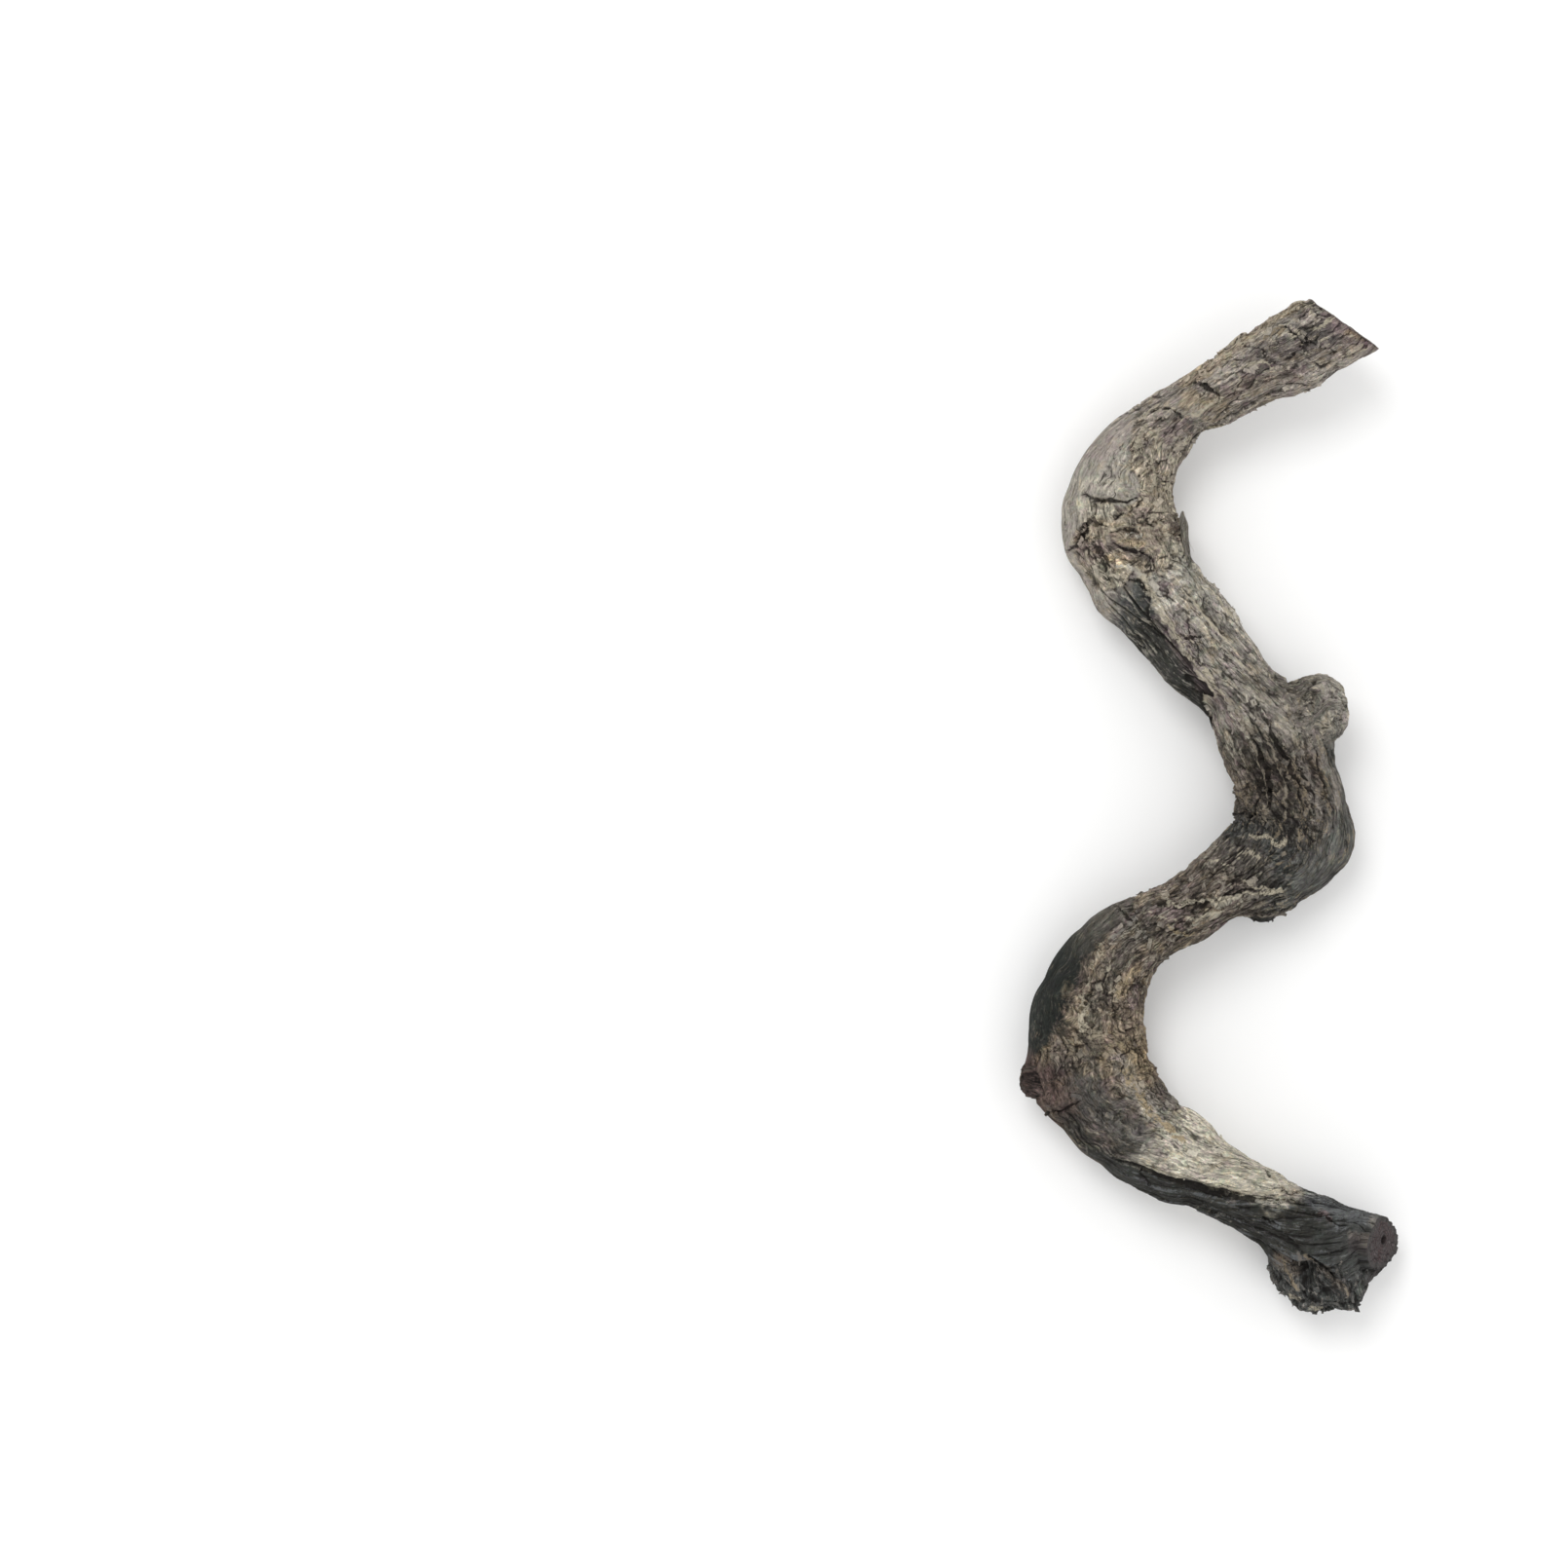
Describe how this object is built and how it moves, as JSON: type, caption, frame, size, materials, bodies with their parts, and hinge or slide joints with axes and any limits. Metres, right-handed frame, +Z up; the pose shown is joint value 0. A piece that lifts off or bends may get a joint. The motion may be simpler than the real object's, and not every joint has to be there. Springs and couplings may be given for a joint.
{
  "type": "driftwood climbing branch",
  "caption": "S-shaped grey driftwood branch that lies on its worn bends, with a saw-cut upper end, a blunt side stub and a forked lower end, for a climbing pet's terrarium or an aquarium.",
  "frame": {"origin": "middle of the branch's bounding box in plan, on the floor that it lies on", "axes": "+Y along the branch's length towards its saw-cut upper end, +Z up from the floor, +X towards the side stub"},
  "size_m": [0.1132, 0.2975, 0.0431],
  "materials": {
    "weathered_wood": "dry weathered bark and bare grey wood, matte",
    "charcoal_wood": "dark smoke-grey twisted wood, matte with a faint sheen"
  },
  "bodies": {
    "root": {"main_stem": "weathered_wood", "side_stub": "weathered_wood", "sawn_fork": "charcoal_wood", "broken_fork": "charcoal_wood"}
  },
  "joints": []
}
